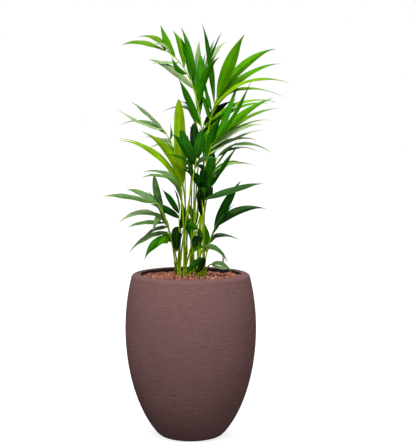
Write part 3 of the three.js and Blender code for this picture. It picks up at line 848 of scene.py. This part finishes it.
GRANULE_SPACING = 8.6
ROW_SPACING = 0.87  # of the rows, over that
GRANULE_STRAY = 1.3
GRANULE_SIZE = (4.0, 5.6)  # radii
GRANULE_STRETCH = (0.82, 1.12)
GRANULE_LUMPS = 0.1
GRANULE_RISE = (-7.5, -3.5)  # of their middles over the bed
LOOSE_RISE = (-0.5, 1.6)  # of those loose on top
LOOSE_SHARE = 0.3
SIDE_RISE = 5  # at the left and at the right of the wall
BACK_FALL = 4.5
STAND_ROOM = 3  # round the stems and the gauge
BED_DROP = 5.5
BED_LUMPS = 1.2
BED_LUMP_SCALE = 0.16
BED_GAP = 0.6
BED_ROWS = 46
BED_SIDE_ROWS = 30
BED_SIDES = 150
GRANULE_COLORS = [
    (216, 156, 138), (198, 134, 114), (180, 116, 96), (160, 102, 86), (140, 90, 76), (120, 76, 64)
]
BACK_LIGHTENED_TINT = 1  # a paler colour at the back, painted light against the crown's shade
# a darker colour at the front, painted shade against the light that falls there
FRONT_DARKENED_TINT = 4
TINT_SPREAD = 1.2
# painted shade: far darker than the granules, to darken the gaps between them
BED_SHADE_COLOR = (64, 40, 36)


def ball():
    made = bmesh.new()
    bmesh.ops.create_icosphere(made, subdivisions=2, radius=1)
    points = np.array([v.co[:] for v in made.verts])
    faces = [tuple(v.index for v in f.verts) for f in made.faces]
    made.free()
    return points, faces


def turned_at_random():
    w, x, y, z = unit(rng.normal(size=4))
    return np.array(
        [
            [1 - 2 * (y * y + z * z), 2 * (x * y - z * w), 2 * (x * z + y * w)],
            [2 * (x * y + z * w), 1 - 2 * (x * x + z * z), 2 * (y * z - x * w)],
            [2 * (x * z - y * w), 2 * (y * z + x * w), 1 - 2 * (x * x + y * y)],
        ]
    )


def heap_places():
    k = np.arange(HEAPS)
    out = HEAP_REACH * np.sqrt((k + 0.5) / HEAPS)
    return np.stack([out * np.cos(k * GOLDEN_ANGLE), out * np.sin(k * GOLDEN_ANGLE)], axis=1)


def bed_height(x, y):
    """The level of the granules, with the low heaps that they lie in."""
    away = np.abs(heap_places() - (x, y)).sum(axis=1).min()
    level = BED_LEVEL + BED_CROWN * (1 - math.hypot(x, y) / POT_MOUTH_RADIUS)
    return level + HEAP_RISE * max(0, 1 - away / HEAP_RADIUS)


def granule_places():
    """Places over the whole bed, clear of the stems and the gauge."""
    limit = POT_MOUTH_RADIUS - GRANULE_SIZE[1] + 1
    stands = [(*foot, stem_radius(k) + STAND_ROOM) for k, (foot, _) in enumerate(STEMS)]
    stands.append((*GAUGE_PLACE, GAUGE_BLOCK_RADIUS + STAND_ROOM))
    rows = int(limit / (GRANULE_SPACING * ROW_SPACING)) + 1
    for i in range(-rows, rows + 1):
        for j in range(-rows - 4, rows + 5):
            x = (j + 0.5 * (i % 2)) * GRANULE_SPACING + rng.normal() * GRANULE_STRAY
            y = i * GRANULE_SPACING * ROW_SPACING + rng.normal() * GRANULE_STRAY
            if math.hypot(x, y) > limit:
                continue
            if any(math.hypot(x - a, y - b) < r for a, b, r in stands):
                continue
            yield x, y


def granule_rise(x, y):
    """How high a granule's middle lies over the bed's level."""
    rise = rng.uniform(*(LOOSE_RISE if rng.random() < LOOSE_SHARE else GRANULE_RISE))
    at_side = (x / POT_MOUTH_RADIUS) ** 4
    at_back = max(0, y / POT_MOUTH_RADIUS) ** 2
    return rise + (SIDE_RISE * at_side - BACK_FALL * at_back)


def make_granules(materials):
    points, faces = ball()
    shape = Shape()
    for x, y in granule_places():
        size = rng.uniform(*GRANULE_SIZE) * rng.uniform(*GRANULE_STRETCH, 3)
        lumps = 1 + GRANULE_LUMPS * rng.normal(size=(len(points), 1)).clip(-1.2, 1.2)
        made = (points * lumps * size) @ turned_at_random().T
        rise = granule_rise(x, y)
        # painted light and shade: granules paler at the back, where the crown shades them, darker at
        # the front
        painted_light_tint = lerp(BACK_LIGHTENED_TINT, FRONT_DARKENED_TINT, 0.5 - 0.5 * y / POT_MOUTH_RADIUS)
        tint = np.clip(rng.normal(painted_light_tint, TINT_SPREAD), 0, len(materials) - 1)
        place = np.array([x, y, bed_height(x, y) + rise])
        shape.add(made + place, faces, slot=round(tint))
    piece = shape.make("clay_granules", materials)
    return piece


def make_bed(material):
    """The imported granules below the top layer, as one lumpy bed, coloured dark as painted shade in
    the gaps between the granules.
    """
    top = [(r, BED_LEVEL) for r in np.linspace(4, POT_MOUTH_RADIUS - BED_GAP, BED_ROWS)]
    below = np.linspace(BED_LEVEL - 20, POT_FLOOR + 1, BED_SIDE_ROWS)
    side = [(min(POT_MOUTH_RADIUS, wall_radius(z) - POT_WALL) - BED_GAP, z) for z in below]
    rings = turned_rings(top + side, BED_SIDES)
    for row in rings[: len(top)]:
        for k, (x, y, _) in enumerate(row):
            lumps = BED_LUMPS * noise.noise(Vector((x, y, 0)) * BED_LUMP_SCALE)
            row[k, 2] = bed_height(x, y) - BED_DROP + lumps
    middle = np.array([0.0, 0, bed_height(0, 0) - BED_DROP])
    shape = Shape()
    shape.loft(rings, middle, np.array([0.0, 0, POT_FLOOR + 1]))
    piece = shape.make("granule_bed", [material])
    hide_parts("granules")
    return piece


# ---- water gauge

GAUGE_SIDES = 48
GAUGE_SHARP = 40  # degrees
GRIPS = 5  # ridges round the block
GRIP_DROP = 15  # of the lowest, below its top
GRIP_PITCH = 2.6
GRIP_DEPTH = 0.8
BLOCK_BEVEL = 1.2
RIM_WIDTH = 4
TUBE_SUNK = 4  # in the block
TUBE_FOOT = BLOCK_TOP - TUBE_SUNK + GAP
RED_HEIGHT = 14
ROD_RADIUS = 0.8
ROD_HEIGHT = 52
YELLOW_LOW, YELLOW_HIGH = 30, 37  # over the tube's foot


def turned_piece(name, parts, node, sides=GAUGE_SIDES):
    """parts has (profile, material) pairs. A profile starts and ends on the axis."""
    shape = Shape()
    for k, (profile, _) in enumerate(parts):
        rings = turned_rings(profile[1:-1], sides, (*GAUGE_PLACE, 0))
        ends = [np.array([*GAUGE_PLACE, profile[e][1]], float) for e in (0, -1)]
        shape.loft(rings, *ends, slot=k)
    piece = shape.make(name, [material for _, material in parts], sharp=GAUGE_SHARP)
    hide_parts(node)
    return piece


def make_gauge_block(black):
    """The dark block, with grips round it and a collar that holds the tube."""
    r, top, collar = GAUGE_BLOCK_RADIUS, BLOCK_TOP, GAUGE_COLLAR_RADIUS
    body = [(0, GAUGE_FOOT), (r, GAUGE_FOOT + 0.1)]
    for k in range(GRIPS):
        z = top - GRIP_DROP + GRIP_PITCH * k
        body += [(r, z), (r - GRIP_DEPTH, z + 0.4), (r - GRIP_DEPTH, z + 1.4), (r, z + 1.8)]
    body += [(r, top - BLOCK_BEVEL), (r - BLOCK_BEVEL, top), (collar, top), (collar, top + 3)]
    hole, high = TUBE_RADIUS + GAP, top + GAUGE_COLLAR_HEIGHT
    body += [(collar - 1, high), (hole, high), (hole, top - TUBE_SUNK), (0, top - TUBE_SUNK)]
    return turned_piece("gauge_foot", [(body, black)], "gauge_block")


def make_gauge_rim(pale):
    """The pale ring round the top of the block."""
    inner, outer, top = GAUGE_BLOCK_RADIUS - RIM_WIDTH, GAUGE_BLOCK_RADIUS - 0.2, BLOCK_TOP
    profile = [(inner, top + 0.1), (outer, top - 1), (outer, top + 2), (inner, top + 2)]
    shape = Shape()
    shape.add(*ring_skin(turned_rings(profile, GAUGE_SIDES, (*GAUGE_PLACE, 0))))
    piece = shape.make("gauge_rim", [pale], sharp=GAUGE_SHARP)
    return piece


def ring_skin(rings):
    """A closed skin over rings that follow each other round, as on a washer."""
    rows, sides = rings.shape[:2]
    faces = []
    for i in range(rows):
        for k in range(sides):
            row, following, side = i * sides, (i + 1) % rows * sides, (k + 1) % sides
            faces.append((row + k, row + side, following + side, following + k))
    points = rings.reshape(-1, 3)
    return points, facing_out(points - points.mean(axis=0), faces)


def make_gauge_tube(clear):
    t, w, high = TUBE_RADIUS, TUBE_WALL, BLOCK_TOP + TUBE_HEIGHT
    dome = rounded(0, high - t, t, 4, 86, 8)
    inner = [(x * (t - w) / t, z - w) for x, z in rounded(0, high - t, t, 86, 4, 8)]
    outside = [(t - w, TUBE_FOOT), (t, TUBE_FOOT), *dome, (0, high)]
    tube = [(0, high - w), *inner, (t - w, high - t - w), *outside]
    return turned_piece("gauge_glass", [(tube, clear)], "gauge_tube")


def make_gauge_float(red, black, yellow):
    """The red foot, the thin rod and the yellow float inside the tube."""
    r, foot = FLOAT_RADIUS, TUBE_FOOT
    red_top, rod_top = foot + RED_HEIGHT, foot + ROD_HEIGHT
    low, high = foot + YELLOW_LOW, foot + YELLOW_HIGH
    red_part = [(0, foot), (r, foot + 0.1), (r, red_top - 1), (r - 0.6, red_top), (0, red_top)]
    rod = [(0, red_top + 0.1), (ROD_RADIUS, red_top + 0.1), (ROD_RADIUS, rod_top), (0, rod_top)]
    edge = r - 0.4
    yellow_part = [(0, low), (edge, low), (r, low + 1), (r, high - 0.6), (edge, high), (0, high)]
    parts = [(red_part, red), (rod, black), (yellow_part, yellow)]
    return turned_piece("gauge_float_parts", parts, "gauge_float", sides=32)


# ---- stems and stalks

STEM_SIDES = 48
STEM_ROWS = 26
STEM_TAPER = (0.2, -0.4)  # added at the foot and at the top
STEM_SLACK = 0.09  # over the radius
LOBE_MARGIN = 0.4  # of a sheath over its stalk
LOBES_FROM = 0.2  # over the height
FIBRES = 9
FIBRE_DEPTH = 0.02
STALK_SIDES = 10
STALK_ROWS = 44
STALK_SWELL = 0.5  # at the foot
SWELL_LENGTH = 0.035
STALK_FLATNESS = 0.1


def lobed(k, turn):
    """The outline of the stalks of stem k side by side, over their stem's radius."""
    out, own = ring_radius(k), STALK_FOOT + LOBE_MARGIN
    reach = np.full(len(turn), own * 0.9)
    for angle in ring_angles(k).values():
        off = turn - angle
        inside = own**2 - (out * np.sin(off)) ** 2
        edge = out * np.cos(off) + np.sqrt(np.maximum(inside, 0))
        reach = np.maximum(reach, np.where(inside > 0, edge, 0))
    return reach / stem_radius(k)


def make_stems(material):
    shape = Shape()
    turn = round_turn(STEM_SIDES)
    rise = np.linspace(0, 1, STEM_ROWS)
    ways = np.tile([0.0, 0, 1], (STEM_ROWS, 1))
    for k, (foot, top) in enumerate(STEMS):
        low = above((*foot, -SOCKET_DEPTH))
        high = above(top)
        lobes = lobed(k, turn)
        seam = (lobes.max() - lobes) / (np.ptp(lobes) or 1)
        squeeze = []
        for t in rise:
            fade = np.clip(t / LOBES_FROM, 0, 1) ** 0.5
            fibres = FIBRE_DEPTH * np.sin(turn * FIBRES + 3 * jitter(k, FIBRE_DRAW) + t * 2.2)
            squeeze.append(lerp(1.0, lobes, fade) - STEM_SLACK + fibres)
        centres = lerp(low, high, rise[:, None])
        radii = stem_radius(k) + lerp(*STEM_TAPER, rise)
        rings = tube_rings(centres, ways, radii, STEM_SIDES, squeeze)
        shape.loft(rings, low, high, grid(seam, rise))
    piece = shape.make("palm_stems", [material])
    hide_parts(*("stem_%d" % (k + 1) for k in range(len(STEMS))))
    return piece


def add_stalk(shape, frond):
    curve = stalk_curve(frond)
    t = np.linspace(0, 1, STALK_ROWS)
    centres = curve_point(curve, t)
    ways = curve_way(curve, t)
    ways[0] = (0, 0, 1)
    swell = 1 + STALK_SWELL * np.exp(-((t / SWELL_LENGTH) ** 2))
    flattened = 1 - STALK_FLATNESS * np.cos(2 * round_turn(STALK_SIDES))
    squeeze = [s * flattened for s in swell]
    rings = tube_rings(centres, ways, stalk_radius(frond, t), STALK_SIDES, squeeze)
    shape.loft(rings, centres[0], centres[-1] + ways[-1] * 2)


# ---- leaflets

LEAF_ROWS = 34
TIP_CROWDING = 1.15  # of the rows
RIB_PLACE = 0.48  # over the half width
LEAF_COLUMNS = np.array([0, 0.06, 0.2, 0.42, RIB_PLACE, 0.54, 0.78, 0.95, 1])
LEAF_PROFILE_AT = [0, 0.05, 0.12, 0.22, 0.34, 0.45, 0.56, 0.66, 0.74, 0.8, 0.86, 0.92, 0.97, 1]
LEAF_PROFILE = [0.14, 0.34, 0.64, 0.89, 0.98, 1, 0.94, 0.78, 0.58, 0.41, 0.26, 0.14, 0.07, 0.02]
ROUND_PROFILE = [0.14, 0.33, 0.6, 0.82, 0.89, 0.9, 0.87, 0.82, 0.76, 0.69, 0.6, 0.45, 0.29, 0.1]
PROFILE_BLUR = 0.05
LEAF_THICK = 0.7
LEAF_SWAY = 0.012  # over the length
LEAF_TWIST = math.radians(16)
TWIST_FROM = 0.3  # where it isn't twisted
TIP_DROOP = 0.02  # over the length
DROOP_FROM = 0.75
FOLD_AT = [0, 0.12, 0.35, 1]
FOLD = [0.85, 0.42, 0.24, 0.16]  # fall of the margins, over the half width
TURNED_FOLD = 0.4  # share of it on a leaflet seen edge on
LEAF_CURL = 0.1
MARGIN_WAVE = 0.09
WAVES = 2.3
MIDRIB_HEIGHT = 0.75
MIDRIB_WIDTH = 0.07
RIB_HEIGHT = 0.32
RIB_WIDTH = 0.05
FULL_RIBS = 6  # half width with ribs of full height
LEAF_SHARP = 62  # degrees


def smooth_profile(t, profile):
    """The width along a leaflet, with the corners of its table rounded off."""
    around = np.linspace(-PROFILE_BLUR, PROFILE_BLUR, 9)
    spots = np.clip(t[:, None] + around, 0, 1)
    blurred = np.interp(spots, LEAF_PROFILE_AT, profile).mean(axis=1)
    sharp = np.interp(t, LEAF_PROFILE_AT, profile)
    keep = np.clip(np.minimum(t, 1 - t) / 0.1, 0, 1)
    return lerp(sharp, blurred, keep)


def leaf_spine(leaf, seed, t):
    """The midrib's points, with the ways across and out of the blade there and along its tip."""
    centres = curve_point(leaf["spine"], t)
    ways = curve_way(leaf["spine"], t)
    twist = LEAF_TWIST * jitter(seed, TWIST_DRAW) * (t - TWIST_FROM)
    across = np.cross(leaf["face"], ways)
    across /= np.linalg.norm(across, axis=1, keepdims=True)
    out = np.cross(ways, across)
    cos, sin = np.cos(twist)[:, None], np.sin(twist)[:, None]
    across, out = across * cos + out * sin, out * cos - across * sin
    sway = LEAF_SWAY * leaf["long"] * jitter(seed, SWAY_DRAW) * np.sin(math.pi * t) ** 2
    centres = centres + out * sway[:, None]
    droop = np.clip((t - DROOP_FROM) / (1 - DROOP_FROM), 0, 1) ** 2
    centres[:, 2] -= TIP_DROOP * leaf["long"] * droop
    return centres, across, out, ways[-1]


def leaf_lift(leaf, seed, t, s, half):
    """How far the blade rises from its midrib: folded down, curled, waved at the margin, ribbed."""
    fold = np.interp(t, FOLD_AT, FOLD) * lerp(TURNED_FOLD, 1, leaf["shown"])
    wave = MARGIN_WAVE * np.sin(2 * math.pi * (WAVES * t + jitter(seed, WAVE_DRAW)))
    lift = -fold[:, None] * half[:, None] * np.abs(s)
    lift -= LEAF_CURL * half[:, None] * s**2
    lift += (wave * half)[:, None] * np.where(s > 0, 1, -1) * np.abs(s) ** 3
    midrib = MIDRIB_HEIGHT * np.exp(-((s / MIDRIB_WIDTH) ** 2)) * np.clip(1.1 - t, 0, 1)[:, None]
    ribs = RIB_HEIGHT * np.exp(-(((np.abs(s) - RIB_PLACE) / RIB_WIDTH) ** 2))
    ribs = ribs * np.clip(1 - t, 0, 1)[:, None]
    return lift + (midrib + ribs) * np.minimum(1, half / FULL_RIBS)[:, None]


def add_leaflet(shape, leaf, seed, slots):
    """A thin closed blade along the leaflet's spine."""
    t = 1 - (1 - np.linspace(0, 1, LEAF_ROWS)) ** TIP_CROWDING
    s = np.concatenate([-LEAF_COLUMNS[:0:-1], LEAF_COLUMNS])
    profile = ROUND_PROFILE if leaf["round_end"] else LEAF_PROFILE
    half = leaf["width"] / 2 * smooth_profile(t, profile)
    centres, across, out, end_way = leaf_spine(leaf, seed, t)
    lift = leaf_lift(leaf, seed, t, s, half)
    thick = LEAF_THICK * np.minimum(1, half / 3 + 0.2)[:, None] * np.sqrt(1 - 0.96 * s**2)
    flat = centres[:, None] + across[:, None] * (half[:, None] * s)[..., None]
    upper = flat + out[:, None] * (lift + thick / 2)[..., None]
    lower = flat + out[:, None] * (lift - thick / 2)[..., None]
    rings = np.concatenate([upper, lower[:, -2:0:-1]], axis=1)
    u = np.concatenate([s, s[-2:0:-1]]) * 0.5 + 0.5
    shape.loft(rings, centres[0], centres[-1] + end_way * 0.4, grid(u, t), slots[leaf["tone"]])


def make_fronds(leaf_materials, stalk_material):
    slots = {letter: k for k, letter in enumerate(leaf_materials)}
    stalks = Shape()
    for index, frond in enumerate(FRONDS):
        add_stalk(stalks, frond)
        shape = Shape()
        for i, leaf in enumerate(leaflets_of(frond, index)):
            add_leaflet(shape, leaf, seed_of(index, i), slots)
        name = "leaflets_" + frond["name"]
        piece = shape.make(name, list(leaf_materials.values()), sharp=LEAF_SHARP)
        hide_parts("frond_" + frond["name"])
        "leaf_young" if "y" in frond["tones"] else "leaf_green"
        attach(piece, "root")
    piece = stalks.make("frond_stalks", [stalk_material])
    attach(piece, "root")


# ---- studio

FLOOR_RADIUS = 40  # metres
FLOOR_DROP = 0.0005  # metres
FLOOR_GLOW = 0.78
LIGHT_WAY = (-0.06, -0.48, 0.87)  # where most of the light comes from
LIGHT_LOW = 0.08  # strength from the opposite side
LIGHT_HIGH = 1.05
LIGHT_EDGE = 0.04  # cosine at which it has faded to the low strength
LIT_POINT = (0, 0, 0.75)  # metres
LIGHTS = [  # name, place and size in metres, power in watts
    ("key", (-0.6, -2.6, 4.2), 1.5, 150),
    ("back", (0.6, 2.6, 3.4), 1.8, 40),
    ("fill", (2.7, -0.6, 0.9), 1.5, 7),
]


def floor_finish():
    """White: it glows, and only a soft shadow darkens it."""
    made = Finish("floor", grey(0.5), 0.9, 0.0)
    cloud = made.noise(made.place(), 0.8, 2.0)
    made.set("Base Color", made.ramp(cloud, [(0.3, 0.49), (0.7, 0.51)]))
    made.set("Emission Color", grey(1))
    made.set("Emission Strength", FLOOR_GLOW)
    return made.material


def make_floor():
    bpy.ops.mesh.primitive_circle_add(vertices=96, radius=FLOOR_RADIUS, fill_type="NGON")
    floor = bpy.context.object
    floor.name = "floor"
    floor.data.materials.append(floor_finish())
    floor.location.z = -FLOOR_DROP
    floor.visible_diffuse = False
    floor.visible_glossy = False
    floor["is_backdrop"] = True


def area_light(name, place, size, power):
    data = bpy.data.lights.new(name, "AREA")
    data.shape = "DISK"
    data.size = size
    data.energy = power
    light = bpy.data.objects.new(name, data)
    light.location = place
    light.rotation_euler = (Vector(LIT_POINT) - Vector(place)).to_track_quat("-Z", "Y").to_euler()
    bpy.context.scene.collection.objects.link(light)


def make_world():
    """White as seen, and as a light bright from above the front and dim elsewhere."""
    world = bpy.data.worlds.new("studio")
    world.use_nodes = True
    bpy.context.scene.world = world
    made = Nodes(world.node_tree)
    made.tree.nodes.clear()
    spot = made.node("ShaderNodeTexCoord").outputs["Generated"]
    facing = made.calculate("ShaderNodeVectorMath", "DOT_PRODUCT", spot, LIGHT_WAY)
    strength = made.node(
        "ShaderNodeMapRange",
        Value=facing, From_Min=LIGHT_EDGE, From_Max=1.0, To_Min=LIGHT_LOW, To_Max=LIGHT_HIGH,
    ).outputs["Result"]
    seen = made.node("ShaderNodeLightPath").outputs["Is Camera Ray"]
    shown = made.node("ShaderNodeMix", Factor=seen, A=strength, B=1.0).outputs["Result"]
    back = made.node("ShaderNodeBackground", Color=grey(1), Strength=shown)
    made.node("ShaderNodeOutputWorld", Surface=back.outputs["Background"])


# ---- assembly


def make_planter():
    # painted shade: a near-black finish for the inside of the pot's wall
    inner_shade = plastic_finish("inner_wall_shade", linear(32, 24, 26), 0.9)
    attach(make_pot(clay_finish(), inner_shade), "root")
    looks = [granule_finish("granule_%d" % k, linear(*c)) for k, c in enumerate(GRANULE_COLORS)]
    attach(make_bed(granule_finish("granule_bed", linear(*BED_SHADE_COLOR))), "root")
    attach(make_granules(looks), "root")


def make_gauge():
    black = plastic_finish("black_plastic", linear(34, 34, 40), 0.45)
    pale = plastic_finish("pale_plastic", linear(196, 206, 214), 0.3)
    red = plastic_finish("red_plastic", linear(196, 36, 28), 0.35)
    yellow = plastic_finish("yellow_plastic", linear(232, 186, 20), 0.35)
    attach(make_gauge_block(black), "root")
    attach(make_gauge_rim(pale), "root")
    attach(make_gauge_tube(clear_finish()), "root")
    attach(make_gauge_float(red, black, yellow), "root")


make_camera()
make_floor()
make_world()
for light in LIGHTS:
    area_light(*light)
make_planter()
make_gauge()
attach(make_stems(sheath_finish()), "root")
make_fronds({letter: leaf_finish(letter) for letter in LEAF_TONES}, stalk_finish())

boxes = {"cad": CAD_BOX, "visual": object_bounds()}
{key: [list(corner) for corner in box] for key, box in boxes.items()}
